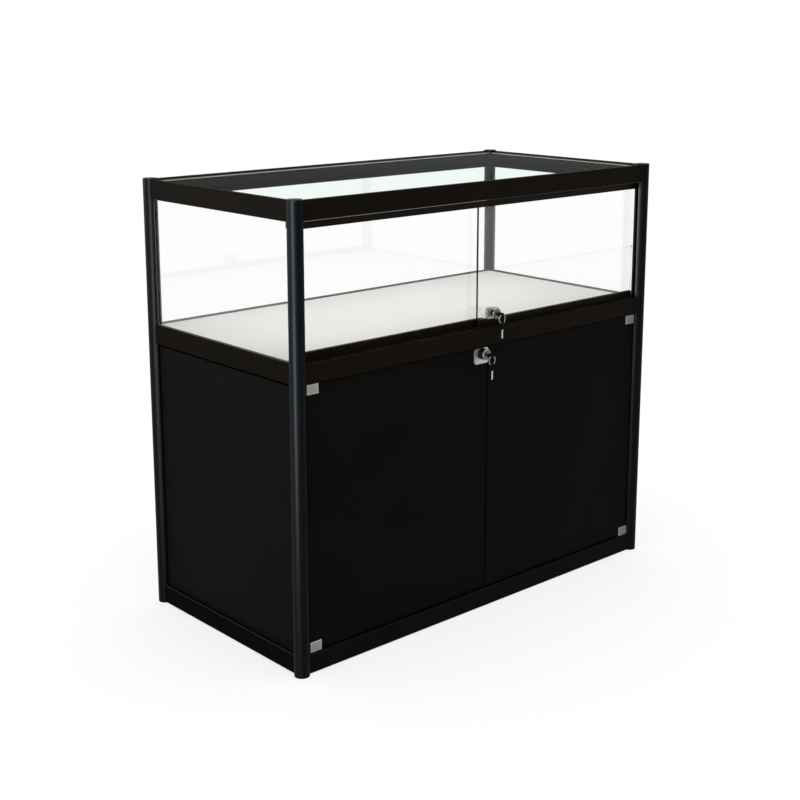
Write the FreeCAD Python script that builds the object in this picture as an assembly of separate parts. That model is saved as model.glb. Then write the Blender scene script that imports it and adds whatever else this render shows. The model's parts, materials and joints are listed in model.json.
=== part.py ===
import FreeCAD, Part
import math
import os

V = FreeCAD.Vector
ORIGIN = V(0, 0, 0)
AXIS_X = V(1, 0, 0)
AXIS_Y = V(0, 1, 0)
AXIS_Z = V(0, 0, 1)
QUARTER_TURN = 90.0
HEX_SIDES = 6
CHANNELS = 2

# Case, over the posts and from the floor to the top of the post caps
case_width = 1000.0
case_depth = 500.0
case_height = 900.0

# Posts: round tubes with a panel groove on their two inner sides
post_diameter = 30.0
post_wall = 2.0
groove_width = 6.0
groove_depth = 8.0
groove_wall = 1.5
cap_thickness = 2.0
cap_edge = 0.8
foot_thickness = 2.0
stub_width = 7.0
stub_length = 12.0

# Rails: one hollow section, grooved for the panels
rail_height = 38.0
rail_depth = 18.0
rail_wall = 1.8
rail_edge = 0.8
middle_rail_top = 602.0
rebate_height = 7.0
rebate_depth = 8.0
fitting_gap = 0.2

# Rail locks: a block in each rail end with a tongue in the post's groove
lock_block_length = 30.0
lock_block_depth = 13.0
lock_block_height = 12.0
lock_block_gap = 5.0
tongue_width = 5.0
tongue_height = 8.0
tongue_reach = 6.0

# Glass, seals and panels
glass_thickness = 5.0
seat_depth = 6.0
seal_base = 1.0
seal_lip = 2.0
seal_play = 0.1
top_seal_thickness = 1.5
top_seal_width = 7.0
top_glass_play = 0.5
panel_thickness = 5.5

# Boards and the angles that carry them
board_thickness = 16.0
board_drop = 0.5
board_play = 0.5
angle_leg = 15.0
angle_wall = 2.0
track_shelf = 40.0

# Sliding doors: tracks, shoes, glides and top guides
track_wall = 1.5
track_floor = 2.0
track_roof = 3.0
track_step = 1.0
track_hang = 16.0
track_grip = 12.0
track_end_play = 0.5
shoe_width = 10.0
shoe_play = 0.75
shoe_show = 12.0
shoe_floor = 3.0
shoe_lift = 2.3
glide_length = 30.0
glide_width = 8.0
glide_inset = 40.0
running_gap = 0.2
door_overlap = 26.0
door_end_gap = 1.5
glass_lift = 11.0
guide_depth = 9.0
guide_length = 20.0
guide_height = 10.0
guide_cap = 2.0

# Cabinet doors: leaves, pivot clips and bushes
leaf_thickness = 6.0
leaf_edge = 0.5
leaf_gap = 3.0
leaf_post_gap = 2.5
pivot_inset = 10.5
clip_width = 27.0
clip_height = 18.5
clip_wall = 2.5
clip_bridge = 2.0
clip_bevel = 1.0
pin_diameter = 5.0
pin_length = 9.0
pin_play = 0.05
bush_diameter = 9.0
bush_length = 10.0

# Magnetic catches
catch_length = 40.0
catch_depth = 16.0
catch_height = 16.0
catch_riser = 3.0
catch_rise = 16.0
catch_middle = 70.0
strike_margin = 2.0
strike_height = 14.0
strike_thickness = 2.0

# Keys and their split rings of flat wire, alike on both locks
key_head_length = 16.5
key_head_width = 8.0
key_head_thickness = 4.0
key_head_round = 3.0
key_hole_diameter = 4.0
key_hole_inset = 4.0
key_stand_off = 1.0
blade_length = 18.0
blade_width = 5.0
blade_thickness = 1.8
blade_root = 6.0
blade_tip = 1.5
keyway_play = 0.2
keyway_spare = 1.0
ring_radius = 8.6
ring_wire = 1.8
ring_play = 0.05

# Cabinet lock on the left leaf
cabinet_plate_width = 38.0
cabinet_plate_height = 32.0
cabinet_plate_thickness = 3.0
cabinet_plate_round = 5.0
cabinet_barrel_rise = 5.0
cabinet_barrel_diameter = 23.0
cabinet_barrel_proud = 16.0
barrel_edge = 1.0
shank_diameter = 16.0
shank_play = 0.2
nut_across = 24.0
nut_thickness = 4.0
plug_diameter = 12.0
plug_play = 0.06
cam_thickness = 2.5
cam_width = 14.0
cam_reach = 26.0
cam_clearance = 1.0
cam_stud_diameter = 8.0
cam_stud_play = 0.05

# Push lock on the right sliding door
push_plate_width = 33.0
push_plate_height = 22.0
push_plate_thickness = 5.0
push_plate_round = 4.0
push_plate_inset = 22.0
push_proud = 13.0
push_disc_diameter = 21.0
push_disc_thickness = 3.0
push_shaft_diameter = 13.0
push_bolt_diameter = 9.0
push_bolt_length = 5.5
push_shaft_overhang = 1.0
push_bore_depth = 21.0
push_plug_diameter = 9.0

# Cutting tools run past the stock by this much
overrun = 5.0

# Places worked out from the sizes above; fittings on the front are set out from the front post axes
leaf_half = leaf_thickness / 2
cabinet_plate_front = -leaf_half - cabinet_plate_thickness
cabinet_lock_face = cabinet_plate_front - cabinet_barrel_proud
head_shoulder = key_head_length - key_hole_inset
key_hole_stand = key_stand_off + head_shoulder
key_front = cabinet_lock_face - key_hole_stand - max(key_head_width / 2, key_hole_inset)

# The keys stand out in front of the posts, so the frame is set back to centre the whole on the origin
post_radius = post_diameter / 2
post_x = case_width / 2 - post_radius
post_run = case_depth / 2 - post_radius
case_set_back = (-key_front - post_radius) / 2
front_y = case_set_back - post_run
back_y = case_set_back + post_run
rail_half = rail_depth / 2
groove_half = groove_width / 2
frame_top = case_height - cap_thickness
top_rail_bottom = frame_top - rail_height
middle_rail_bottom = middle_rail_top - rail_height
bottom_rail_top = foot_thickness + rail_height
deck_top = middle_rail_top - board_drop
deck_bottom = deck_top - board_thickness
base_bottom = bottom_rail_top - board_drop - board_thickness

channel_width = shoe_width + 2 * shoe_play
track_pitch = channel_width + track_wall
track_depth = CHANNELS * track_pitch + track_wall
front_channel_y = rail_half + track_wall + channel_width / 2
rear_channel_y = front_channel_y + track_pitch
track_reach = post_x - rail_half - track_end_play

door_reach = post_x - rail_half - door_end_gap
door_width = door_reach + door_overlap / 2
shoe_bottom = deck_bottom + track_floor + running_gap + shoe_lift
shoe_top = middle_rail_top + shoe_show
door_glass_bottom = shoe_bottom + shoe_floor
door_glass_top = top_rail_bottom + track_grip - track_roof - glass_lift

leaf_outer_x = post_x - post_radius - leaf_post_gap
leaf_bottom = bottom_rail_top + leaf_gap
leaf_top = middle_rail_bottom - leaf_gap
leaf_middle_z = (leaf_bottom + leaf_top) / 2
pivot_x = leaf_outer_x - pivot_inset

cabinet_lock_x = -leaf_gap / 2 - cabinet_plate_width / 2
cabinet_lock_z = leaf_top - cabinet_plate_height / 2 + cabinet_barrel_rise
cam_front = rail_half + cam_clearance
cam_back = cam_front + cam_thickness

push_glass_front = front_channel_y - glass_thickness / 2
push_glass_back = front_channel_y + glass_thickness / 2
push_lock_x = -door_overlap / 2 + push_plate_inset + push_plate_width / 2
push_lock_z = shoe_top + push_plate_height / 2
push_plate_front = push_glass_front - push_plate_thickness
push_lock_face = push_plate_front - push_proud

# Each side: turn about Z and place of its middle; a side is drawn along X with +Y inwards
side_spans = {"front": 2 * post_x, "right": 2 * post_run, "back": 2 * post_x, "left": 2 * post_run}
side_places = {
    "front": (0.0, V(0, front_y, 0)),
    "right": (QUARTER_TURN, V(post_x, case_set_back, 0)),
    "back": (2 * QUARTER_TURN, V(0, back_y, 0)),
    "left": (3 * QUARTER_TURN, V(-post_x, case_set_back, 0)),
}
corner_places = {
    "front_left": (0.0, V(-post_x, front_y, 0)),
    "front_right": (QUARTER_TURN, V(post_x, front_y, 0)),
    "back_right": (2 * QUARTER_TURN, V(post_x, back_y, 0)),
    "back_left": (3 * QUARTER_TURN, V(-post_x, back_y, 0)),
}
closed_sides = ("left", "right", "back")

nodes = {}


def placed(shape, place):
    angle, spot = place
    moved = shape.copy()
    moved.rotate(ORIGIN, AXIS_Z, angle)
    moved.translate(spot)
    return moved


def on_front(shape):
    return placed(shape, side_places["front"])


def box(low, high):
    size = high - low
    return Part.makeBox(size.x, size.y, size.z, low)


def rod(radius, start, end):
    return Part.makeCylinder(radius, (end - start).Length, start, end - start)


def outline_face(points):
    return Part.Face(Part.makePolygon(points + points[:1]))


def bar_along_x(profile, low_x, high_x):
    face = outline_face([V(low_x, y, z) for y, z in profile])
    return face.extrude(V(high_x - low_x, 0, 0))


def edges_along(shape, direction, test):
    found = []
    for edge in shape.Edges:
        if len(edge.Vertexes) != 2:
            continue
        start, end = edge.Vertexes[0].Point, edge.Vertexes[1].Point
        if (end - start).cross(direction).Length < Part.Precision.confusion() and test(start):
            found.append(edge)
    return found


def rounded(shape, direction, radius):
    return shape.makeFillet(radius, edges_along(shape, direction, lambda point: True))


def mirrored_x(shape):
    return shape.mirror(ORIGIN, AXIS_X)


def posts_cleared(shape, gap):
    for angle, spot in corner_places.values():
        top = V(spot.x, spot.y, case_height)
        shape = shape.cut(rod(post_radius + gap, spot, top))
    return shape


# Posts with their grooves, caps and feet
def post_section(radius, groove_inner, half):
    disc = Part.Face(Part.Wire(Part.makeCircle(radius)))
    reach = post_radius + overrun
    corners = [V(groove_inner, -half, 0), V(reach, -half, 0), V(reach, half, 0), V(groove_inner, half, 0)]
    slot = outline_face(corners)
    for angle in (0.0, QUARTER_TURN):
        turned = slot.copy()
        turned.rotate(ORIGIN, AXIS_Z, angle)
        disc = disc.cut(turned)
    return disc


def post():
    groove_inner = post_radius - groove_depth
    outer = post_section(post_radius, groove_inner, groove_half)
    hollow = post_section(post_radius - post_wall, groove_inner - groove_wall, groove_half + groove_wall)
    tube = outer.cut(hollow).extrude(V(0, 0, frame_top - foot_thickness))
    tube.translate(V(0, 0, foot_thickness))
    return tube


def post_end(thickness, edge):
    disc = rod(post_radius, ORIGIN, V(0, 0, thickness))
    rim = [e for e in disc.Edges if e.Closed and e.CenterOfMass.z > thickness / 2]
    if edge > 0:
        disc = disc.makeChamfer(edge, rim)
    half = stub_width / 2
    stub = box(V(-half, -half, -stub_length), V(half, half, 0))
    return disc.fuse(stub).removeSplitter()


cap = post_end(cap_thickness, cap_edge)
cap.translate(V(0, 0, frame_top))
foot = post_end(foot_thickness, 0)
foot.rotate(ORIGIN, AXIS_X, 2 * QUARTER_TURN)
foot.translate(V(0, 0, foot_thickness))
for corner, place in corner_places.items():
    nodes["post_" + corner] = placed(post(), place)
nodes["post_caps"] = [placed(cap, place) for place in corner_places.values()]
nodes["post_feet"] = [placed(foot, place) for place in corner_places.values()]


# Rails
def rail_outline(inset, skin, top_groove, bottom_groove, rebate):
    side = rail_half - inset
    low = inset
    high = rail_height - inset
    half = groove_half + skin
    depth = groove_depth + skin
    points = [(-side, low)]
    if bottom_groove:
        points += [(-half, low), (-half, depth), (half, depth), (half, low)]
    points.append((side, low))
    if rebate:
        shelf = rail_height - rebate_height - inset
        lip = rail_half - rebate_depth - inset
        points += [(side, shelf), (lip, shelf), (lip, high)]
    else:
        points.append((side, high))
    if top_groove:
        points += [(half, high), (half, rail_height - depth), (-half, rail_height - depth), (-half, high)]
    points.append((-side, high))
    return points


def rail(span, top_groove, bottom_groove, rebate):
    bar = bar_along_x(rail_outline(0, 0, top_groove, bottom_groove, rebate), -span / 2, span / 2)
    corners = edges_along(bar, AXIS_X, lambda p: abs(p.y) == rail_half and p.z in (0, rail_height))
    bar = bar.makeChamfer(rail_edge, corners)
    hollow = rail_outline(rail_wall, groove_wall, top_groove, bottom_groove, rebate)
    bar = bar.cut(bar_along_x(hollow, -span / 2 - overrun, span / 2 + overrun))
    for end in (-span / 2, span / 2):
        bar = bar.cut(rod(post_radius + fitting_gap, V(end, 0, -overrun), V(end, 0, rail_height + overrun)))
    return bar


def rail_lock(span):
    outer = span / 2 - post_radius - fitting_gap - lock_block_gap
    middle = rail_height / 2
    block = box(
        V(outer - lock_block_length, -lock_block_depth / 2, middle - lock_block_height / 2),
        V(outer, lock_block_depth / 2, middle + lock_block_height / 2),
    )
    tongue = box(
        V(outer, -tongue_width / 2, middle - tongue_height / 2),
        V(span / 2 - post_radius + tongue_reach, tongue_width / 2, middle + tongue_height / 2),
    )
    return block.fuse(tongue).removeSplitter()


rail_levels = {
    "top_rail": (top_rail_bottom, False, True, True),
    "middle_rail": (middle_rail_bottom, True, True, False),
    "bottom_rail": (foot_thickness, True, False, False),
}
nodes["rail_locks"] = []
for level, (bottom, top_groove, bottom_groove, rebate) in rail_levels.items():
    for side, span in side_spans.items():
        bar = rail(span, top_groove, bottom_groove, rebate)
        bar.translate(V(0, 0, bottom))
        nodes[level + "_" + side] = placed(bar, side_places[side])
        lock = rail_lock(span)
        lock.translate(V(0, 0, bottom))
        for piece in (lock, mirrored_x(lock)):
            nodes["rail_locks"].append(placed(piece, side_places[side]))


# Glass above and panels below, held in the grooves of the three closed sides
def pane(span, thickness, low, high, grow):
    half = span / 2 - post_radius + seat_depth + grow
    low_z = low - seat_depth - grow
    high_z = high + seat_depth + grow
    return box(V(-half, -thickness / 2, low_z), V(half, thickness / 2, high_z))


def pane_seal(span):
    channel = pane(span, groove_width - 2 * seal_play, middle_rail_top, top_rail_bottom, seal_base)
    sight = pane(span, groove_width + overrun, middle_rail_top, top_rail_bottom, -seat_depth - seal_lip)
    glass = pane(span, glass_thickness, middle_rail_top, top_rail_bottom, 0)
    return channel.cut(sight).cut(glass)


nodes["glass_seals"] = []
for side in closed_sides:
    span = side_spans[side]
    place = side_places[side]
    glass = pane(span, glass_thickness, middle_rail_top, top_rail_bottom, 0)
    panel = pane(span, panel_thickness, bottom_rail_top, middle_rail_bottom, 0)
    nodes[side + "_glass"] = placed(glass, place)
    nodes[side + "_panel"] = placed(panel, place)
    nodes["glass_seals"].append(placed(pane_seal(span), place))


# Top glass on a flat seal in the rails' rebates
def flat_sheet(inset, low_z, high_z):
    half_x = post_x - inset
    half_y = post_run - inset
    return box(V(-half_x, case_set_back - half_y, low_z), V(half_x, case_set_back + half_y, high_z))


top_glass_inset = rail_half - rebate_depth + top_glass_play
shelf_z = frame_top - rebate_height
top_glass_z = shelf_z + top_seal_thickness
top_glass = flat_sheet(top_glass_inset, top_glass_z, top_glass_z + glass_thickness)
nodes["top_glass"] = posts_cleared(top_glass, top_glass_play)
top_seal = flat_sheet(top_glass_inset, shelf_z, top_glass_z)
top_sight_inset = top_glass_inset + top_seal_width
top_seal = top_seal.cut(flat_sheet(top_sight_inset, shelf_z - overrun, top_glass_z + overrun))
nodes["glass_seals"].extend(posts_cleared(top_seal, top_glass_play).Solids)


# Deck behind the lower track, base board and the angles under both
board_inset = rail_half + board_play
deck = flat_sheet(board_inset, deck_bottom, deck_top)
track_back = front_y + rail_half + track_depth + board_play
deck = deck.cut(box(V(-case_width, -case_depth, 0), V(case_width, track_back, case_height)))
nodes["display_deck"] = posts_cleared(deck, board_play)
base = flat_sheet(board_inset, base_bottom, base_bottom + board_thickness)
nodes["base_board"] = posts_cleared(base, board_play)


def support_angle(span, board_z, shelf):
    half = span / 2 - board_inset - angle_leg
    profile = [
        (rail_half, board_z),
        (rail_half, board_z - angle_leg),
        (rail_half + angle_wall, board_z - angle_leg),
        (rail_half + angle_wall, board_z - angle_wall),
        (rail_half + shelf, board_z - angle_wall),
        (rail_half + shelf, board_z),
    ]
    return bar_along_x(profile, -half, half)


cam_notch = box(
    V(cabinet_lock_x - cam_reach - cam_clearance, rail_half - overrun, middle_rail_bottom),
    V(cabinet_lock_x + cam_width, cam_back + cam_clearance, deck_bottom - angle_wall),
)
nodes["support_angles"] = []
for side, span in side_spans.items():
    deck_angle = support_angle(span, deck_bottom, track_shelf if side == "front" else angle_leg)
    if side == "front":
        deck_angle = deck_angle.cut(cam_notch)
    for angle_piece in (deck_angle, support_angle(span, base_bottom, angle_leg)):
        nodes["support_angles"].append(placed(angle_piece, side_places[side]))


# Tracks: two channels each, the upper one open below and the lower one open above
def channel_profile(closed_z, web, open_z):
    inner_z = closed_z + math.copysign(web, open_z - closed_z)
    points = [(rail_half, closed_z), (rail_half, open_z)]
    for wall in range(CHANNELS + 1):
        start = rail_half + wall * track_pitch
        if wall:
            points += [(start, inner_z), (start, open_z)]
        points.append((start + track_wall, open_z))
        if wall < CHANNELS:
            points.append((start + track_wall, inner_z))
    points.append((rail_half + track_depth, closed_z))
    return points


upper_track = channel_profile(top_rail_bottom + track_grip, track_roof, top_rail_bottom - track_hang)
lower_track = channel_profile(deck_bottom, track_floor, deck_top - track_step)
for name, profile in {"upper_track": upper_track, "lower_track": lower_track}.items():
    track = on_front(bar_along_x(profile, -track_reach, track_reach))
    nodes[name] = posts_cleared(track, fitting_gap)


# Sliding doors, drawn for the right end of the case
def sliding_glass(channel_y):
    low = V(door_reach - door_width, channel_y - glass_thickness / 2, door_glass_bottom)
    high = V(door_reach, channel_y + glass_thickness / 2, door_glass_top)
    return box(low, high)


def door_shoe(channel_y):
    low = V(door_reach - door_width, channel_y - shoe_width / 2, shoe_bottom)
    high = V(door_reach, channel_y + shoe_width / 2, shoe_top)
    return box(low, high).cut(sliding_glass(channel_y))


def door_glides(channel_y):
    pieces = []
    for end in (door_reach - glide_inset, door_reach - door_width + glide_inset):
        glide_low = V(end - glide_length / 2, channel_y - glide_width / 2, shoe_bottom - shoe_lift)
        glide_high = V(end + glide_length / 2, channel_y + glide_width / 2, shoe_bottom)
        pieces.append(box(glide_low, glide_high))
        guide_low = V(end - guide_length / 2, channel_y - guide_depth / 2, door_glass_top - guide_height)
        guide_high = V(end + guide_length / 2, channel_y + guide_depth / 2, door_glass_top + guide_cap)
        pieces.append(box(guide_low, guide_high).cut(sliding_glass(channel_y)))
    return pieces


push_axis_front = V(push_lock_x, push_lock_face, push_lock_z)


def on_push_axis(radius, start_y, end_y):
    return rod(radius, V(push_lock_x, start_y, push_lock_z), V(push_lock_x, end_y, push_lock_z))


shank_hole_radius = shank_diameter / 2 + shank_play
glass_hole = on_push_axis(shank_hole_radius, push_glass_front - overrun, push_glass_back + overrun)
nodes["right_sliding_glass"] = on_front(sliding_glass(front_channel_y).cut(glass_hole))
nodes["right_door_shoe"] = on_front(door_shoe(front_channel_y))
nodes["right_door_glides"] = [on_front(piece) for piece in door_glides(front_channel_y)]
nodes["left_sliding_glass"] = on_front(mirrored_x(sliding_glass(rear_channel_y)))
nodes["left_door_shoe"] = on_front(mirrored_x(door_shoe(rear_channel_y)))
nodes["left_door_glides"] = [on_front(mirrored_x(piece)) for piece in door_glides(rear_channel_y)]


# Keys, drawn with the ring hole at the origin and the blade along +Y
def key_head():
    low = V(-key_head_thickness / 2, -key_hole_inset, -key_head_width / 2)
    high = V(key_head_thickness / 2, head_shoulder, key_head_width / 2)
    head = rounded(box(low, high), AXIS_X, key_head_round)
    hole_end = V(key_head_thickness / 2 + overrun, 0, 0)
    return head.cut(rod(key_hole_diameter / 2, -hole_end, hole_end))


def key_blade():
    half = blade_width / 2
    start = head_shoulder - blade_root
    end = head_shoulder + blade_length
    profile = [(start, -half), (end - blade_tip, -half), (end, -half + blade_tip)]
    profile += [(end, half - blade_tip), (end - blade_tip, half), (start, half)]
    return bar_along_x(profile, -blade_thickness / 2, blade_thickness / 2)


def keyway(face_point):
    half = V(blade_thickness / 2 + keyway_play, 0, blade_width / 2 + keyway_play)
    depth = blade_length - key_stand_off + keyway_spare
    return box(face_point - half - V(0, overrun, 0), face_point + half + V(0, depth, 0))


def hex_nut(radius, x, z, start_y, end_y):
    corners = []
    for step in range(HEX_SIDES):
        angle = step * 2 * math.pi / HEX_SIDES
        corners.append(V(x + radius * math.cos(angle), start_y, z + radius * math.sin(angle)))
    return outline_face(corners).extrude(V(0, end_y - start_y, 0))


# The ring rests on the edges of the key's hole, where the hole breaks out of the head's two faces
ring_inner = ring_radius - ring_wire / 2
ring_outer = ring_radius + ring_wire / 2
ring_rest = math.sqrt(ring_inner ** 2 - (key_head_thickness / 2) ** 2)
hole_rest = math.sqrt((key_hole_diameter / 2) ** 2 - (ring_wire / 2) ** 2)
ring_drop = ring_rest + hole_rest - ring_play


def split_ring(middle):
    half = V(0, ring_wire / 2, 0)
    cut_half = V(0, ring_wire / 2 + overrun, 0)
    bore = rod(ring_inner, middle - cut_half, middle + cut_half)
    return rod(ring_outer, middle - half, middle + half).cut(bore)


def hang_keys(prefix, face_point):
    hole = face_point - V(0, key_hole_stand, 0)
    inserted = key_head().fuse(key_blade()).removeSplitter()
    inserted.translate(hole)
    nodes[prefix + "_key"] = on_front(inserted)
    ring_middle = hole - V(0, 0, ring_drop)
    nodes[prefix + "_key_ring"] = on_front(split_ring(ring_middle))
    spare_head = key_head().cut(key_blade())
    for name, piece in {"_spare_head": spare_head, "_spare_blade": key_blade()}.items():
        piece.rotate(ORIGIN, AXIS_X, -QUARTER_TURN)
        piece.translate(ring_middle - V(0, 0, ring_drop))
        nodes[prefix + name] = on_front(piece)


# Push lock through the right sliding glass
plate_low = V(push_lock_x - push_plate_width / 2, push_plate_front, push_lock_z - push_plate_height / 2)
plate_high = V(push_lock_x + push_plate_width / 2, push_glass_front, push_lock_z + push_plate_height / 2)
push_body = rounded(box(plate_low, plate_high), AXIS_Y, push_plate_round)
push_body_back = push_glass_back + nut_thickness
push_body = push_body.fuse(on_push_axis(shank_diameter / 2, push_glass_front, push_body_back))
push_shaft_radius = push_shaft_diameter / 2
push_bore_radius = push_shaft_radius + plug_play
push_bore = on_push_axis(push_bore_radius, push_plate_front - overrun, push_body_back + overrun)
push_body = push_body.cut(push_bore).removeSplitter()
push_nut = hex_nut(nut_across / 2, push_lock_x, push_lock_z, push_glass_back, push_body_back)
push_nut = push_nut.cut(on_push_axis(shank_diameter / 2 + plug_play, push_glass_back, push_body_back))
nodes["sliding_lock_body"] = [on_front(push_body), on_front(push_nut)]

push_shaft_back = push_glass_back + push_shaft_overhang
push_plunger = on_push_axis(push_disc_diameter / 2, push_lock_face, push_lock_face + push_disc_thickness)
push_plunger = push_plunger.fuse(on_push_axis(push_shaft_radius, push_lock_face, push_shaft_back))
push_bolt = on_push_axis(push_bolt_diameter / 2, push_lock_face, push_shaft_back + push_bolt_length)
push_plunger = push_plunger.fuse(push_bolt).removeSplitter()
push_plug_back = push_lock_face + push_bore_depth
push_plug_radius = push_plug_diameter / 2
plug_bore = on_push_axis(push_plug_radius + plug_play, push_lock_face - overrun, push_plug_back)
nodes["sliding_lock_plunger"] = on_front(push_plunger.cut(plug_bore))
push_plug = on_push_axis(push_plug_radius, push_lock_face, push_plug_back)
nodes["sliding_lock_plug"] = on_front(push_plug.cut(keyway(push_axis_front)))
hang_keys("sliding", push_axis_front)


# Cabinet doors on pivot clips, drawn for the right side
def door_leaf():
    leaf = box(V(leaf_gap / 2, -leaf_half, leaf_bottom), V(leaf_outer_x, leaf_half, leaf_top))
    return leaf.makeChamfer(leaf_edge, edges_along(leaf, AXIS_Z, lambda point: True))


def hinge_clip():
    grip = leaf_half + clip_wall
    low_z = leaf_top - clip_height
    high_z = leaf_top + clip_bridge
    profile = [(-grip, low_z), (-leaf_half, low_z), (-leaf_half, leaf_top), (leaf_half, leaf_top)]
    profile += [(leaf_half, low_z), (grip, low_z), (grip, high_z), (-grip, high_z)]
    clip = bar_along_x(profile, leaf_outer_x - clip_width, leaf_outer_x)
    face_rim = [e for e in clip.Edges if e.BoundBox.YMax < -leaf_half - clip_bevel]
    clip = clip.makeChamfer(clip_bevel, face_rim)
    pin_base = V(pivot_x, 0, high_z)
    pin = rod(pin_diameter / 2, pin_base, pin_base + V(0, 0, pin_length))
    return clip.fuse(pin).removeSplitter()


def hinge_bush():
    mouth = V(pivot_x, 0, middle_rail_bottom)
    bush = rod(bush_diameter / 2, mouth, mouth + V(0, 0, bush_length))
    bore_end = mouth + V(0, 0, pin_length - leaf_gap + clip_bridge + fitting_gap)
    return bush.cut(rod(pin_diameter / 2 + pin_play, mouth, bore_end))


def top_and_bottom(shape):
    flipped = shape.mirror(V(0, 0, leaf_middle_z), AXIS_Z)
    return [shape, flipped]


def on_lock_axis(radius, start_y, end_y):
    return rod(radius, V(cabinet_lock_x, start_y, cabinet_lock_z), V(cabinet_lock_x, end_y, cabinet_lock_z))


lock_hole = on_lock_axis(shank_hole_radius, -leaf_half - overrun, leaf_half + overrun)
nodes["right_cabinet_door"] = on_front(door_leaf())
nodes["left_cabinet_door"] = on_front(mirrored_x(door_leaf()).cut(lock_hole))
clips = top_and_bottom(hinge_clip())
bushes = top_and_bottom(hinge_bush())
nodes["right_hinge_clips"] = [on_front(piece) for piece in clips]
nodes["left_hinge_clips"] = [on_front(mirrored_x(piece)) for piece in clips]
bushes += [mirrored_x(piece) for piece in bushes]
nodes["hinge_bushes"] = [on_front(piece) for piece in bushes]
for sign in (-1, 1):
    seat_axis = V(sign * pivot_x, front_y, 0)
    upper_seat = rod(
        bush_diameter / 2, seat_axis + V(0, 0, middle_rail_bottom - overrun),
        seat_axis + V(0, 0, middle_rail_bottom + bush_length),
    )
    lower_seat = rod(
        bush_diameter / 2, seat_axis + V(0, 0, bottom_rail_top - bush_length),
        seat_axis + V(0, 0, bottom_rail_top + overrun),
    )
    nodes["middle_rail_front"] = nodes["middle_rail_front"].cut(upper_seat)
    nodes["bottom_rail_front"] = nodes["bottom_rail_front"].cut(lower_seat)


# Magnetic catches on the front deck angle, with a strike plate on each leaf
def magnetic_catch():
    face_y = leaf_half + strike_thickness + running_gap
    riser_y = rail_half + angle_wall
    top_z = middle_rail_bottom - running_gap
    profile = [
        (face_y, top_z),
        (face_y, top_z - catch_height),
        (face_y + catch_depth, top_z - catch_height),
        (face_y + catch_depth, top_z),
        (riser_y + catch_riser, top_z),
        (riser_y + catch_riser, top_z + catch_rise),
        (riser_y, top_z + catch_rise),
        (riser_y, top_z),
    ]
    return bar_along_x(profile, catch_middle - catch_length / 2, catch_middle + catch_length / 2)


def strike_plate():
    middle_z = middle_rail_bottom - running_gap - catch_height / 2
    reach = catch_length / 2 - strike_margin
    low = V(catch_middle - reach, leaf_half, middle_z - strike_height / 2)
    high = V(catch_middle + reach, leaf_half + strike_thickness, middle_z + strike_height / 2)
    return box(low, high)


catch = magnetic_catch()
nodes["magnetic_catches"] = [on_front(catch), on_front(mirrored_x(catch))]
nodes["right_catch_plate"] = on_front(strike_plate())
nodes["left_catch_plate"] = on_front(mirrored_x(strike_plate()))


# Cam lock on the left leaf: body and nut, turning plug, cam and keys
plate_half = cabinet_plate_width / 2
plate_low = V(cabinet_lock_x - plate_half, cabinet_plate_front, leaf_top - cabinet_plate_height)
plate_high = V(cabinet_lock_x + plate_half, -leaf_half, leaf_top)
cabinet_body = rounded(box(plate_low, plate_high), AXIS_Y, cabinet_plate_round)
barrel = on_lock_axis(cabinet_barrel_diameter / 2, cabinet_lock_face, cabinet_plate_front)
barrel_rim = [e for e in barrel.Edges if e.BoundBox.YMax < cabinet_lock_face + barrel_edge]
cabinet_body = cabinet_body.fuse(barrel.makeChamfer(barrel_edge, barrel_rim))
cabinet_body_back = leaf_half + nut_thickness
cabinet_body = cabinet_body.fuse(on_lock_axis(shank_diameter / 2, -leaf_half, cabinet_body_back))
plug_radius = plug_diameter / 2
bore_radius = plug_radius + plug_play
barrel_bore = on_lock_axis(bore_radius, cabinet_lock_face - overrun, cabinet_body_back + overrun)
cabinet_body = cabinet_body.cut(barrel_bore).removeSplitter()
cabinet_nut = hex_nut(nut_across / 2, cabinet_lock_x, cabinet_lock_z, leaf_half, cabinet_body_back)
cabinet_nut = cabinet_nut.cut(on_lock_axis(shank_diameter / 2 + plug_play, leaf_half, cabinet_body_back))
nodes["cabinet_lock_body"] = [on_front(cabinet_body), on_front(cabinet_nut)]

cabinet_axis_front = V(cabinet_lock_x, cabinet_lock_face, cabinet_lock_z)
plug = on_lock_axis(plug_radius, cabinet_lock_face, cam_front)
plug = plug.fuse(on_lock_axis(cam_stud_diameter / 2, cam_front, cam_back))
nodes["cabinet_lock_plug"] = on_front(plug.cut(keyway(cabinet_axis_front)).removeSplitter())

cam_half = cam_width / 2
cam_end_x = cabinet_lock_x - cam_reach + cam_half
cam = on_lock_axis(cam_half, cam_front, cam_back)
cam_tip = rod(cam_half, V(cam_end_x, cam_front, cabinet_lock_z), V(cam_end_x, cam_back, cabinet_lock_z))
cam_low = V(cam_end_x, cam_front, cabinet_lock_z - cam_half)
cam_high = V(cabinet_lock_x, cam_back, cabinet_lock_z + cam_half)
cam = cam.fuse(cam_tip).fuse(box(cam_low, cam_high)).removeSplitter()
cam = cam.cut(on_lock_axis(cam_stud_diameter / 2 + cam_stud_play, cam_front - overrun, cam_back + overrun))
nodes["cabinet_lock_cam"] = on_front(cam)
hang_keys("cabinet", cabinet_axis_front)

os.makedirs("parts", exist_ok=True)
for name, shape in nodes.items():
    whole = Part.makeCompound(shape) if isinstance(shape, list) else shape
    whole.exportStep("parts/" + name + ".step")
print(len(nodes), "nodes")
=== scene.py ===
import json
import math

import bpy
import bmesh
from mathutils import Matrix, Vector


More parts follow.
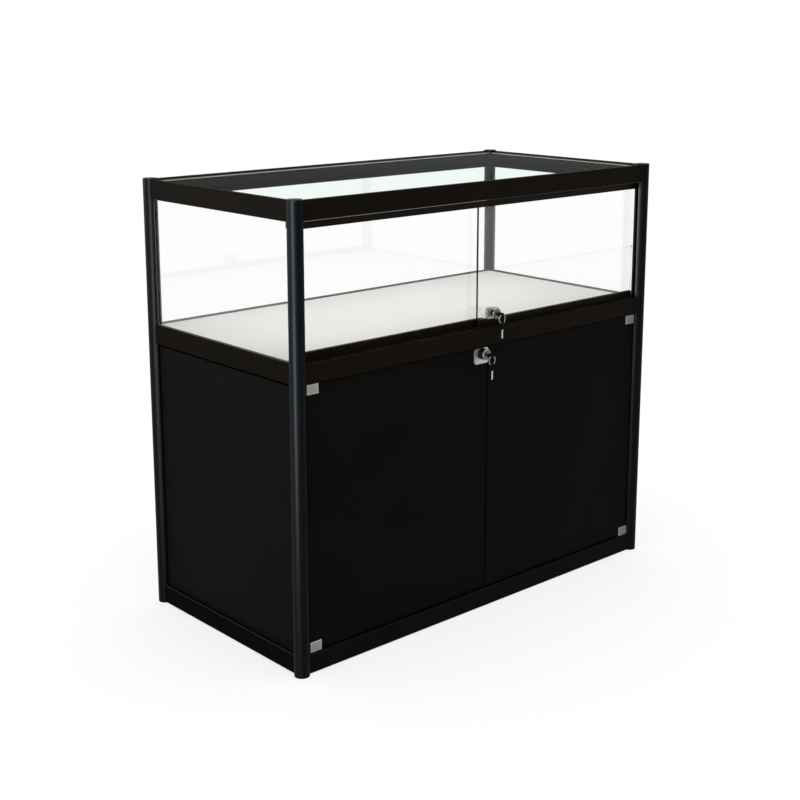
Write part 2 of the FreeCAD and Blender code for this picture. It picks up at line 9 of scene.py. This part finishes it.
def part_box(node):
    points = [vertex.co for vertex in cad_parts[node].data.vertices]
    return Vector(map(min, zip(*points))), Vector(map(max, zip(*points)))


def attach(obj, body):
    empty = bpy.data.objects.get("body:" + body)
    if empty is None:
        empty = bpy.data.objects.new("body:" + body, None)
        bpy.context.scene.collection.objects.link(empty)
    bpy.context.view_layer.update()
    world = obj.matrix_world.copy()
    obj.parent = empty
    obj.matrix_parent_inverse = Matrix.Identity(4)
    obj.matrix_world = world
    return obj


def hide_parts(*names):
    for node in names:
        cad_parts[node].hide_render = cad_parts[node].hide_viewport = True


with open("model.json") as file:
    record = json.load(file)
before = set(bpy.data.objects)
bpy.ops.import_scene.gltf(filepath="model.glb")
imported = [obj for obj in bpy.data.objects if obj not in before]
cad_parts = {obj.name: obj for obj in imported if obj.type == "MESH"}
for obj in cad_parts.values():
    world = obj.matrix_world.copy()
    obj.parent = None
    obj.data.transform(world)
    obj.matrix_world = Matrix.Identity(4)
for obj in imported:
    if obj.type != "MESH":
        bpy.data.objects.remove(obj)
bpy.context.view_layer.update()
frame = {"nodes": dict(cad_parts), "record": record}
nodes = frame["nodes"]
node_slots = {row["node"]: row["material_slot"] for row in frame["record"]["subparts"]}

# Camera, in the frame's metres and in degrees; the focal length is a share of the picture's width
camera_place = Vector((-1.9426, -2.1153, 1.1913))
camera_azimuth = -42.027
camera_tilt = 12.016
focal_share = 1.7106
camera_shift = -0.1
sensor_width = 36.0

# Stage and light
floor_half = 60.0
floor_colour = (0.90, 0.90, 0.90)
floor_roughness = 0.9
floor_glow_share = 0.6
floor_glow_strength = 1.2
world_colour = (1.0, 1.0, 1.0)
world_strength = 0.80
background_strength = 1.0
lamp_aim = Vector((0.0, 0.0, 0.5))
# Each lamp: place, width, height, watts, colour and what it lights; the gloss lamps only show in
# reflections, and not on the deck, the glass or the seals
lamps = {
    "top_softbox": (
        Vector((-0.3, -0.2, 2.9)), 2.4, 1.8, 11.0, (1.0, 0.985, 0.955), "everything",
    ),
    "left_gloss_strip": (
        Vector((-1.34, -0.50, 0.62)), 0.16, 1.4, 120.0, (0.64, 0.82, 1.0), "gloss_receivers",
    ),
    "back_left_gloss": (
        Vector((-2.4, 2.3, 1.4)), 1.2, 1.6, 130.0, (1.0, 0.88, 0.78), "gloss_receivers",
    ),
    "right_post_gloss": (
        Vector((-0.66, 0.18, 0.76)), 0.28, 0.4, 300.0, (1.0, 0.97, 0.90), "post_receivers",
    ),
}
unglossed_slots = ("white_board", "clear_glass", "seal_rubber")
lit_nodes = {
    "gloss_receivers": [name for name in nodes if node_slots[name] not in unglossed_slots],
    "post_receivers": ["post_front_right"],
}

# Colours of the surfaces, linear
post_colour = (0.0030, 0.0029, 0.0028)
rail_colour = (0.0058, 0.0042, 0.0026)
# Bottom rails, darker than the rails above and darker on the left and right than on the front and back:
# painted shade
low_rail_shade_colour = (0.0032, 0.0029, 0.0024)
front_low_rail_shade_colour = (0.0044, 0.0036, 0.0026)
# Painted highlights on the bottom rails' upper edges, brighter on the left and right rails
edge_highlight_colour = (0.044, 0.043, 0.039)
front_edge_highlight_colour = (0.014, 0.0135, 0.012)
# Painted highlight and painted sheen along the front top rail's lower front edge
front_rail_highlight_colour = (0.42, 0.41, 0.36)
front_rail_sheen_colour = (0.07, 0.068, 0.06)
track_colour = (0.0075, 0.0040, 0.0014)
# Painted light on the upward faces of the lower track and the door shoes
shoe_top_light_colour = (0.032, 0.012, 0.0022)
board_colour = (0.0047, 0.0038, 0.0030)
plastic_colour = (0.0022, 0.0022, 0.0023)
seal_colour = (0.16, 0.155, 0.145)
top_seal_colour = (0.62, 0.60, 0.52)
# Painted shadow: the black strips in the gaps beside the panels
shadow_strip_colour = (0.0008, 0.0008, 0.0008)
deck_colour = (0.80, 0.79, 0.765)
nylon_colour = (0.62, 0.61, 0.57)
chrome_colour = (0.36, 0.352, 0.338)
lock_face_colour = (0.13, 0.127, 0.118)
# Painted dark reflection on the lock barrels' sides
barrel_shade_colour = (0.006, 0.006, 0.006)
plate_colour = (0.43, 0.412, 0.375)
# Painted shade on the plates' left-facing sides
plate_left_shade_colour = (0.17, 0.155, 0.13)
steel_colour = (0.20, 0.20, 0.195)
blade_colour = (0.86, 0.86, 0.85)
# Painted shade on the clips' faces, and on the right clips by their lower share
clip_face_shade_colour = (0.23, 0.226, 0.21)
left_clip_shade_share = 1.0
right_clip_shade_share = 0.62
glass_colour = (1.0, 1.0, 1.0)
glass_absorbs = (0.62, 0.84, 0.74)
glass_density = 9.0
pane_ior = 1.5
top_pane_ior = 1.004

# Finish of the drawn metals that several pieces share
rail_roughness = 0.50
front_rail_specular = 0.018
track_roughness = 0.42
track_specular = 0.05

# Grains to the metre along each axis
die_lines_x = (5.0, 1100.0, 1100.0)
die_lines_y = (1100.0, 5.0, 1100.0)
die_lines_z = (1100.0, 1100.0, 5.0)
brush_lines_x = (60.0, 1500.0, 1500.0)
brush_lines_z = (1500.0, 1500.0, 60.0)
drawn_clouds = (9.0, 9.0, 5.0)
brushed_clouds = (120.0, 120.0, 120.0)
sheet_pearl = (900.0, 900.0, 900.0)
sheet_sheen = (14.0, 14.0, 14.0)
sheet_clouds = (5.0, 5.0, 5.0)
mould_sparks = (1800.0, 1800.0, 1800.0)
mould_clouds = (60.0, 60.0, 60.0)
# The noise's values at the two ends of each variation
noise_low = 0.3
noise_high = 0.7

# Bounds on a surface's direction that tell edges, sides and faces apart
edge_tilt = 0.2
flat_tilt = 0.97
side_tilt = 0.5
lock_face_tilt = 0.9
clip_face_tilt = 0.95

# Where the painted highlight and the metals change, in metres
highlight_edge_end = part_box("right_sliding_glass")[0][0]
top_strip_depth = 0.004
top_strip_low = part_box("top_glass")[0][2] - top_strip_depth
cabinet_rim_back = -0.2428
cabinet_barrel_back = -0.2288
sliding_rim_back = -0.2239
sliding_barrel_back = -0.2
# The clips' plates, over the door's end and past it, and the width of their bevelled rim
clip_reach = 0.0185
clip_bridge = 0.0020
clip_rim = 0.0022


def surface(name, colour, roughness, metallic, specular):
    material = bpy.data.materials.new(name)
    material.use_nodes = True
    shader = material.node_tree.nodes["Principled BSDF"]
    shader.inputs["Base Color"].default_value = (*colour, 1.0)
    shader.inputs["Roughness"].default_value = roughness
    shader.inputs["Metallic"].default_value = metallic
    shader.inputs["Specular IOR Level"].default_value = specular
    return material


def grain(material, stretch, detail):
    """A noise value over the frame's own coordinates, with so many grains to the metre along each axis."""
    tree = material.node_tree
    place = tree.nodes.new("ShaderNodeTexCoord")
    mapping = tree.nodes.new("ShaderNodeMapping")
    noise = tree.nodes.new("ShaderNodeTexNoise")
    mapping.inputs["Scale"].default_value = stretch
    noise.inputs["Scale"].default_value = 1.0
    noise.inputs["Detail"].default_value = detail
    tree.links.new(place.outputs["Object"], mapping.inputs["Vector"])
    tree.links.new(mapping.outputs["Vector"], noise.inputs["Vector"])
    return noise.outputs["Fac"]


def vary_roughness(material, value, roughness, below, above):
    """Spreads the roughness from so much below to so much above its mean."""
    tree = material.node_tree
    ranged = tree.nodes.new("ShaderNodeMapRange")
    ranged.inputs["From Min"].default_value = noise_low
    ranged.inputs["From Max"].default_value = noise_high
    ranged.inputs["To Min"].default_value = roughness - below
    ranged.inputs["To Max"].default_value = roughness + above
    tree.links.new(value, ranged.inputs["Value"])
    tree.links.new(ranged.outputs["Result"], tree.nodes["Principled BSDF"].inputs["Roughness"])


def vary_colour(material, value, colour, spread):
    """The colour, darker and lighter by a share either way."""
    tree = material.node_tree
    ramp = tree.nodes.new("ShaderNodeValToRGB")
    ends = ((noise_low, 1 - spread), (noise_high, 1 + spread))
    for element, (place, share) in zip(ramp.color_ramp.elements, ends):
        element.position = place
        element.color = (*(channel * share for channel in colour), 1.0)
    tree.links.new(value, ramp.inputs["Fac"])
    tree.links.new(ramp.outputs["Color"], tree.nodes["Principled BSDF"].inputs["Base Color"])


def add_bump(material, value, strength, distance):
    tree = material.node_tree
    bump = tree.nodes.new("ShaderNodeBump")
    bump.inputs["Strength"].default_value = strength
    bump.inputs["Distance"].default_value = distance
    tree.links.new(value, bump.inputs["Height"])
    tree.links.new(bump.outputs["Normal"], tree.nodes["Principled BSDF"].inputs["Normal"])


def calculate(owner, operation, first, second):
    """A math node over a value and a second value or number, in a material or the world."""
    tree = owner.node_tree
    node = tree.nodes.new("ShaderNodeMath")
    node.operation = operation
    tree.links.new(first, node.inputs[0])
    if isinstance(second, float):
        node.inputs[1].default_value = second
    else:
        tree.links.new(second, node.inputs[1])
    return node.outputs["Value"]


def band(material, value, low, high):
    """1 where the value lies between the two bounds, else 0."""
    above = calculate(material, "GREATER_THAN", value, low)
    below = calculate(material, "LESS_THAN", value, high)
    return calculate(material, "MULTIPLY", above, below)


def place_and_normal(material):
    """The frame's own coordinates and the surface's direction, split by axis."""
    tree = material.node_tree
    place = tree.nodes.new("ShaderNodeTexCoord")
    found = []
    for source in ("Object", "Normal"):
        split = tree.nodes.new("ShaderNodeSeparateXYZ")
        tree.links.new(place.outputs[source], split.inputs["Vector"])
        found.append(split.outputs)
    return found


def lay_colour(material, mask, colour):
    """Lays a colour over the base colour where the mask is 1."""
    tree = material.node_tree
    base = tree.nodes["Principled BSDF"].inputs["Base Color"]
    mix = tree.nodes.new("ShaderNodeMixRGB")
    tree.links.new(mask, mix.inputs["Fac"])
    tree.links.new(base.links[0].from_socket, mix.inputs["Color1"])
    mix.inputs["Color2"].default_value = (*colour, 1.0)
    tree.links.new(mix.outputs["Color"], base)


def mix_shader(material, share, other):
    """Mixes a share of another shader into the material's own."""
    tree = material.node_tree
    mix = tree.nodes.new("ShaderNodeMixShader")
    tree.links.new(share, mix.inputs["Fac"])
    tree.links.new(tree.nodes["Principled BSDF"].outputs["BSDF"], mix.inputs[1])
    tree.links.new(other, mix.inputs[2])
    tree.links.new(mix.outputs["Shader"], tree.nodes["Material Output"].inputs["Surface"])


# Drawn metal with faint die lines along its length
def extruded(name, colour, roughness, specular, stretch):
    material = surface(name, colour, roughness, metallic=0.0, specular=specular)
    lines = grain(material, stretch, detail=2.0)
    vary_roughness(material, lines, roughness, below=0.05, above=0.06)
    add_bump(material, lines, strength=0.06, distance=0.0004)
    vary_colour(material, grain(material, drawn_clouds, detail=3.0), colour, spread=0.12)
    return material


# Sheet with a faint pearl in its surface
def laminate(name, colour, roughness, specular, spread):
    material = surface(name, colour, roughness, metallic=0.0, specular=specular)
    vary_roughness(material, grain(material, sheet_sheen, detail=4.0), roughness, below=0.04, above=0.05)
    add_bump(material, grain(material, sheet_pearl, detail=2.0), strength=0.10, distance=0.0004)
    vary_colour(material, grain(material, sheet_clouds, detail=4.0), colour, spread)
    return material


# Metal with a fine brushed grain along one axis
def brushed(name, colour, roughness, stretch):
    material = surface(name, colour, roughness, metallic=1.0, specular=0.5)
    lines = grain(material, stretch, detail=3.0)
    vary_roughness(material, lines, roughness, below=0.06, above=0.10)
    add_bump(material, lines, strength=0.10, distance=0.0002)
    vary_colour(material, grain(material, brushed_clouds, detail=3.0), colour, spread=0.08)
    return material


# Plastic, rubber or paint with a fine moulded grain
def moulded(name, colour, roughness, specular):
    material = surface(name, colour, roughness, metallic=0.0, specular=specular)
    sparks = grain(material, mould_sparks, detail=2.0)
    vary_roughness(material, sparks, roughness, below=0.06, above=0.08)
    add_bump(material, sparks, strength=0.12, distance=0.0003)
    vary_colour(material, grain(material, mould_clouds, detail=3.0), colour, spread=0.10)
    return material


# Clear float glass: lamps shine through, and its body takes a little green over its length
def glass(name, ior):
    material = surface(name, glass_colour, roughness=0.0, metallic=0.0, specular=0.5)
    tree = material.node_tree
    shader = tree.nodes["Principled BSDF"]
    shader.inputs["Transmission Weight"].default_value = 1.0
    shader.inputs["IOR"].default_value = ior
    clear = tree.nodes.new("ShaderNodeBsdfTransparent")
    path = tree.nodes.new("ShaderNodeLightPath")
    mix_shader(material, path.outputs["Is Shadow Ray"], clear.outputs["BSDF"])
    body = tree.nodes.new("ShaderNodeVolumeAbsorption")
    body.inputs["Color"].default_value = (*glass_absorbs, 1.0)
    body.inputs["Density"].default_value = glass_density
    tree.links.new(body.outputs["Volume"], tree.nodes["Material Output"].inputs["Volume"])
    return material


# Rails near the floor, with a painted highlight along their upper edge fillets
def highlit_edge_rail(name, colour, highlight_tint, specular, stretch):
    material = extruded(name, colour, rail_roughness, specular, stretch)
    normal = place_and_normal(material)[1]
    lay_colour(material, band(material, normal["Z"], edge_tilt, flat_tilt), highlight_tint)
    return material


# The front top rail, with a painted sheen along its lower front edge and a brighter painted highlight on its
# left half
def highlit_front_rail(name):
    material = extruded(name, rail_colour, rail_roughness, front_rail_specular, die_lines_x)
    place, normal = place_and_normal(material)
    front = calculate(material, "LESS_THAN", normal["Y"], -edge_tilt)
    edge = calculate(material, "MULTIPLY", band(material, normal["Z"], -flat_tilt, -edge_tilt), front)
    half = calculate(material, "LESS_THAN", place["X"], highlight_edge_end)
    lay_colour(material, edge, front_rail_sheen_colour)
    lay_colour(material, calculate(material, "MULTIPLY", edge, half), front_rail_highlight_colour)
    return material


# The lower track and the door shoes, with painted light on their upward faces, lighter and browner
def shoe_rail(name):
    material = extruded(name, track_colour, track_roughness, track_specular, die_lines_x)
    normal = place_and_normal(material)[1]
    lay_colour(material, calculate(material, "GREATER_THAN", normal["Z"], edge_tilt), shoe_top_light_colour)
    return material


# Glazing seals, paler in the flat strips under the top glass
def glazing_seal(name):
    material = moulded(name, seal_colour, roughness=0.70, specular=0.25)
    place = place_and_normal(material)[0]
    lay_colour(material, calculate(material, "GREATER_THAN", place["Z"], top_strip_low), top_seal_colour)
    return material


# Plates with painted shade on their left sides
def plate_metal(name):
    material = brushed(name, plate_colour, roughness=0.44, stretch=brush_lines_x)
    normal = place_and_normal(material)[1]
    lay_colour(material, calculate(material, "LESS_THAN", normal["X"], -side_tilt), plate_left_shade_colour)
    return material


# Plated lock: bright plate and rim, a painted dark reflection on the barrel's sides between them, and a
# darker face
def lock_metal(name, rim_back, barrel_back):
    material = plate_metal(name)
    place, normal = place_and_normal(material)
    barrel = band(material, place["Y"], rim_back, barrel_back)
    side = calculate(material, "MULTIPLY", barrel, band(material, normal["Y"], -side_tilt, side_tilt))
    front = calculate(material, "LESS_THAN", place["Y"], rim_back)
    facing = calculate(material, "LESS_THAN", normal["Y"], -lock_face_tilt)
    lay_colour(material, side, barrel_shade_colour)
    lay_colour(material, calculate(material, "MULTIPLY", front, facing), lock_face_colour)
    return material


# Plated pivot clips: a darker face as painted shade, leaving the bevelled rim bright as a painted highlight;
# rim and face both at a share of their colours, the right clips' lower share painted shade
def clip_metal(side, share):
    rim_colour = [channel * share for channel in chrome_colour]
    face_colour = [channel * share for channel in clip_face_shade_colour]
    material = brushed(side + "_clip_metal", rim_colour, roughness=0.34, stretch=brush_lines_x)
    place, normal = place_and_normal(material)
    low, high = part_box(side + "_hinge_clips")
    door_low, door_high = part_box(side + "_cabinet_door")
    inner, outer = clip_reach - clip_rim, clip_bridge - clip_rim
    top = band(material, place["Z"], door_high[2] - inner, door_high[2] + outer)
    foot = band(material, place["Z"], door_low[2] - outer, door_low[2] + inner)
    level = band(material, place["X"], low[0] + clip_rim, high[0] - clip_rim)
    face = calculate(material, "MULTIPLY", level, calculate(material, "MAXIMUM", top, foot))
    facing = calculate(material, "LESS_THAN", normal["Y"], -clip_face_tilt)
    lay_colour(material, calculate(material, "MULTIPLY", face, facing), face_colour)
    return material


rail_metal_y = extruded("rail_metal_y", rail_colour, rail_roughness, specular=0.008, stretch=die_lines_y)
# Bottom rails: painted shade in their darker colours, painted highlights along their upper edges
highlit_edge_rail_x = highlit_edge_rail(
    "highlit_edge_rail_x", front_low_rail_shade_colour, front_edge_highlight_colour, specular=0.014, stretch=die_lines_x
)
highlit_edge_rail_y = highlit_edge_rail("highlit_edge_rail_y", low_rail_shade_colour, edge_highlight_colour, specular=0.004, stretch=die_lines_y)
shoe_metal = shoe_rail("shoe_metal")
# Black strips standing in for the shadow gaps beside the panels: painted shadow
shadow_strip_black = moulded("shadow_strip_black", shadow_strip_colour, roughness=0.70, specular=0.0)
satin_chrome = brushed("satin_chrome", chrome_colour, roughness=0.30, stretch=brush_lines_x)
cabinet_lock_metal = lock_metal("cabinet_lock_metal", cabinet_rim_back, cabinet_barrel_back)
sliding_lock_metal = lock_metal("sliding_lock_metal", sliding_rim_back, sliding_barrel_back)
blade_steel = brushed("blade_steel", blade_colour, roughness=0.26, stretch=brush_lines_z)

slot_materials = {
    "post_metal": extruded("post_metal", post_colour, roughness=0.44, specular=0.036, stretch=die_lines_z),
    "rail_metal": extruded("rail_metal_x", rail_colour, rail_roughness, front_rail_specular, die_lines_x),
    "track_metal": extruded("track_metal", track_colour, track_roughness, track_specular, die_lines_x),
    "black_plastic": moulded("black_plastic", plastic_colour, roughness=0.42, specular=0.05),
    "clear_glass": glass("clear_glass", pane_ior),
    "seal_rubber": glazing_seal("seal_rubber"),
    "white_board": laminate("white_board", deck_colour, roughness=0.62, specular=0.0, spread=0.012),
    "black_board": laminate("black_board", board_colour, roughness=0.50, specular=0.011, spread=0.12),
    "angle_steel": moulded("angle_paint", rail_colour, roughness=0.50, specular=0.30),
    "nylon": moulded("nylon", nylon_colour, roughness=0.55, specular=0.40),
    "satin_silver": satin_chrome,
    "key_steel": brushed("plated_steel", steel_colour, roughness=0.26, stretch=brush_lines_z),
}
node_materials = {
    "top_rail_front": highlit_front_rail("highlit_front_rail"),
    "top_rail_left": rail_metal_y,
    "top_rail_right": rail_metal_y,
    "middle_rail_left": rail_metal_y,
    "middle_rail_right": rail_metal_y,
    "bottom_rail_left": highlit_edge_rail_y,
    "bottom_rail_right": highlit_edge_rail_y,
    "bottom_rail_front": highlit_edge_rail_x,
    "bottom_rail_back": highlit_edge_rail_x,
    "left_door_shoe": shoe_metal,
    "right_door_shoe": shoe_metal,
    "lower_track": shoe_metal,
    "top_glass": glass("top_pane_glass", top_pane_ior),
    "left_hinge_clips": clip_metal("left", left_clip_shade_share),
    "right_hinge_clips": clip_metal("right", right_clip_shade_share),
    "sliding_lock_body": plate_metal("clamp_metal"),
    "cabinet_lock_body": cabinet_lock_metal,
    "cabinet_lock_plug": cabinet_lock_metal,
    "sliding_lock_plunger": sliding_lock_metal,
    "sliding_lock_plug": sliding_lock_metal,
}
for name, node in nodes.items():
    node.data.materials.clear()
    node.data.materials.append(node_materials.get(name, slot_materials[node_slots[name]]))


# Pieces beyond the solids
def add_piece(name, shape, material, body):
    mesh = bpy.data.meshes.new(name)
    bmesh.ops.recalc_face_normals(shape, faces=shape.faces)
    shape.to_mesh(mesh)
    shape.free()
    piece = bpy.data.objects.new(name, mesh)
    piece.data.materials.append(material)
    bpy.context.scene.collection.objects.link(piece)
    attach(piece, body)
    return piece


def loft(sections):
    """Skins a row of equal sections and caps both ends."""
    shape = bmesh.new()
    rows = [[shape.verts.new(point) for point in section] for section in sections]
    for first, second in zip(rows, rows[1:]):
        for step in range(len(first)):
            after = (step + 1) % len(first)
            shape.faces.new((first[step], first[after], second[after], second[step]))
    shape.faces.new(rows[0])
    shape.faces.new(rows[-1])
    return shape


# Split rings of flat wire, two turns side by side with a step between them on one side of the ring
wire_radial = 0.00085
wire_axial = 0.00042
wire_flat_share = 0.7
coil_offset = 0.00046
coil_steps = 180
step_half_angle = math.radians(40.0)
step_side = math.radians(75.0)


def split_ring(node, body):
    low, high = (Vector(corner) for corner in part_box(node))
    middle = (low + high) / 2
    radius = (high.x - low.x) / 2 - wire_radial
    corners = [(-1, -wire_flat_share), (-wire_flat_share, -1), (wire_flat_share, -1), (1, -wire_flat_share)]
    corners += [(-across, -along) for across, along in corners]
    sections = []
    for step in range(coil_steps + 1):
        # Both turns together, measured from the middle of the step
        angle = (2 * math.pi - step_half_angle) * (2 * step / coil_steps - 1)
        ramp = min(max(angle / step_half_angle, -1.0), 1.0)
        outward = Vector((math.sin(angle + step_side), 0.0, -math.cos(angle + step_side)))
        centre = middle + outward * radius + Vector((0.0, ramp * coil_offset, 0.0))
        section = []
        for across, along in corners:
            section.append(centre + outward * across * wire_radial + Vector((0.0, along * wire_axial, 0.0)))
        sections.append(section)
    name = node.replace("key_ring", "split_ring")
    ring = add_piece(name, loft(sections), satin_chrome, body)
    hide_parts(node)


split_ring("sliding_key_ring", "push_lock_ring")
split_ring("cabinet_key_ring", "cabinet_lock_ring")

# Spare keys' blades with a milled groove down both flats and cuts along one edge
blade_levels = 48
blade_half_wide = 0.0018
groove_half = 0.0006
groove_floor_half = 0.0004
groove_depth = 0.0005
blade_tip = 0.0009
cut_pitch = 0.003
cut_depth = 0.0006
cut_share = 0.45
uncut_length = 0.008


def milled_blade(node, body):
    low, high = (Vector(corner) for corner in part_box(node))
    middle = (low + high) / 2
    half_thick = (high.x - low.x) / 2
    inner = half_thick - groove_depth
    sections = []
    for level in range(blade_levels + 1):
        z = low.z + (high.z - low.z) * level / blade_levels
        tip = max(blade_tip - (z - low.z), 0.0)
        along = (z - low.z - blade_tip) / cut_pitch
        depth = 0.0
        if 0 < along and z < high.z - uncut_length and along % 1.0 < cut_share:
            depth = cut_depth * math.sin(math.pi * (along % 1.0) / cut_share)
        back = blade_half_wide - tip
        front = max(tip, depth) - blade_half_wide
        outline = [
            (half_thick, back), (half_thick, groove_half), (inner, groove_floor_half),
            (inner, -groove_floor_half), (half_thick, -groove_half), (half_thick, front),
        ]
        outline += [(-x, y) for x, y in reversed(outline)]
        sections.append([Vector((middle.x + x, middle.y + y, z)) for x, y in outline])
    name = node.replace("spare_blade", "milled_blade")
    blade = add_piece(name, loft(sections), blade_steel, body)
    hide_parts(node)


milled_blade("sliding_spare_blade", "push_lock_ring")
milled_blade("cabinet_spare_blade", "cabinet_lock_ring")

# Black strips on the outer faces of the panels, up both posts and under the rail above, as painted shadow in
# the gaps where the panels sit back; the profile runs inward from the post or rail and outward from the
# panel, in shares of the strip's width and rise
shadow_strip_side_width = 0.0026
shadow_strip_top_width = 0.0056
shadow_strip_rise = 0.0016
shadow_strip_post_reach = 0.0144
shadow_strip_profile = [(0.0, 0.0), (1.0, 0.0), (0.93, 0.40), (0.65, 0.80), (0.30, 1.0), (0.0, 1.0)]


def post_middle(corner):
    low, high = (Vector(point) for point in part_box("post_" + corner))
    return (low + high) / 2


def panel_shadow_strip(side, across, outward, first_post, second_post):
    """across and outward are the panel's level and facing directions; the posts stand at its two ends."""
    panel_low, panel_high = (Vector(corner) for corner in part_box(side + "_panel"))
    face = max(panel_low.dot(outward), panel_high.dot(outward))
    low_end = post_middle(first_post).dot(across) + shadow_strip_post_reach
    high_end = post_middle(second_post).dot(across) - shadow_strip_post_reach
    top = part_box("middle_rail_" + side)[0][2]
    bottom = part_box("bottom_rail_" + side)[1][2]
    # Each section: its level place and height, its inward direction, and 1 where it also drops from the rail
    stations = [
        (low_end, bottom, 1, 0),
        (low_end, top, 1, 1),
        (high_end, top, -1, 1),
        (high_end, bottom, -1, 0),
    ]
    sections = []
    for along, z, turn, drop in stations:
        section = []
        for inward, rise in shadow_strip_profile:
            level = along + turn * inward * shadow_strip_side_width
            height = z - drop * inward * shadow_strip_top_width
            point = across * level + outward * (face + rise * shadow_strip_rise)
            section.append(point + Vector((0.0, 0.0, height)))
        sections.append(section)
    add_piece("panel_shadow_strip_" + side, loft(sections), shadow_strip_black, "case")


panel_shadow_strip("left", Vector((0, 1, 0)), Vector((-1, 0, 0)), "front_left", "back_left")
panel_shadow_strip("right", Vector((0, 1, 0)), Vector((1, 0, 0)), "front_right", "back_right")
panel_shadow_strip("back", Vector((1, 0, 0)), Vector((0, 1, 0)), "back_left", "back_right")


# Floor, world and lamps
def camera_or_mirror(owner):
    """1 for what the camera, a reflection or clear glass shows, else 0, in a material or the world."""
    rays = owner.node_tree.nodes.new("ShaderNodeLightPath").outputs
    seen = calculate(owner, "MAXIMUM", rays["Is Camera Ray"], rays["Is Glossy Ray"])
    return calculate(owner, "MAXIMUM", seen, rays["Is Transmission Ray"])


floor_paint = surface("floor", floor_colour, floor_roughness, metallic=0.0, specular=0.0)
glow = floor_paint.node_tree.nodes.new("ShaderNodeEmission")
glow.inputs["Strength"].default_value = floor_glow_strength
glow_share = calculate(floor_paint, "MULTIPLY", camera_or_mirror(floor_paint), floor_glow_share)
mix_shader(floor_paint, glow_share, glow.outputs["Emission"])

floor_mesh = bpy.data.meshes.new("floor")
floor_corners = [(x * floor_half, y * floor_half, 0) for x, y in ((-1, -1), (1, -1), (1, 1), (-1, 1))]
floor_mesh.from_pydata(floor_corners, [], [(0, 1, 2, 3)])
floor = bpy.data.objects.new("floor", floor_mesh)
floor.data.materials.append(floor_paint)
bpy.context.scene.collection.objects.link(floor)

world = bpy.data.worlds.new("studio")
bpy.context.scene.world = world
world.use_nodes = True
world_tree = world.node_tree
background = world_tree.nodes["Background"]
background.inputs["Color"].default_value = (*world_colour, 1.0)
strength = world_tree.nodes.new("ShaderNodeMapRange")
strength.inputs["To Min"].default_value = world_strength
strength.inputs["To Max"].default_value = background_strength
world_tree.links.new(camera_or_mirror(world), strength.inputs["Value"])
world_tree.links.new(strength.outputs["Result"], background.inputs["Strength"])

receivers = {}
for group, names in lit_nodes.items():
    receivers[group] = bpy.data.collections.new(group)
    for name in names:
        receivers[group].objects.link(nodes[name])

for name, (place, width, height, watts, colour, group) in lamps.items():
    lamp = bpy.data.lights.new(name, "AREA")
    lamp.shape = "RECTANGLE"
    lamp.size = width
    lamp.size_y = height
    lamp.energy = watts
    lamp.color = colour
    holder = bpy.data.objects.new(name, lamp)
    holder.location = place
    holder.rotation_euler = (lamp_aim - place).to_track_quat("-Z", "Y").to_euler()
    holder.visible_camera = False
    if group in receivers:
        holder.visible_diffuse = False
        holder.visible_transmission = False
        holder.light_linking.receiver_collection = receivers[group]
    bpy.context.scene.collection.objects.link(holder)

# Camera
azimuth, tilt = math.radians(camera_azimuth), math.radians(camera_tilt)
backward = Vector((math.sin(azimuth) * math.cos(tilt), -math.cos(azimuth) * math.cos(tilt), math.sin(tilt)))
right = Vector((math.cos(azimuth), math.sin(azimuth), 0.0))
up = backward.cross(right)
camera = bpy.data.objects.new("camera", bpy.data.cameras.new("camera"))
camera.data.sensor_width = sensor_width
camera.data.sensor_fit = "HORIZONTAL"
camera.data.lens = focal_share * sensor_width
camera.data.shift_y = camera_shift
camera_turn = Matrix((right, up, backward)).transposed().to_4x4()
camera.matrix_world = Matrix.Translation(camera_place) @ camera_turn
bpy.context.scene.collection.objects.link(camera)
bpy.context.scene.camera = camera

bpy.context.scene.view_settings.view_transform = "Standard"
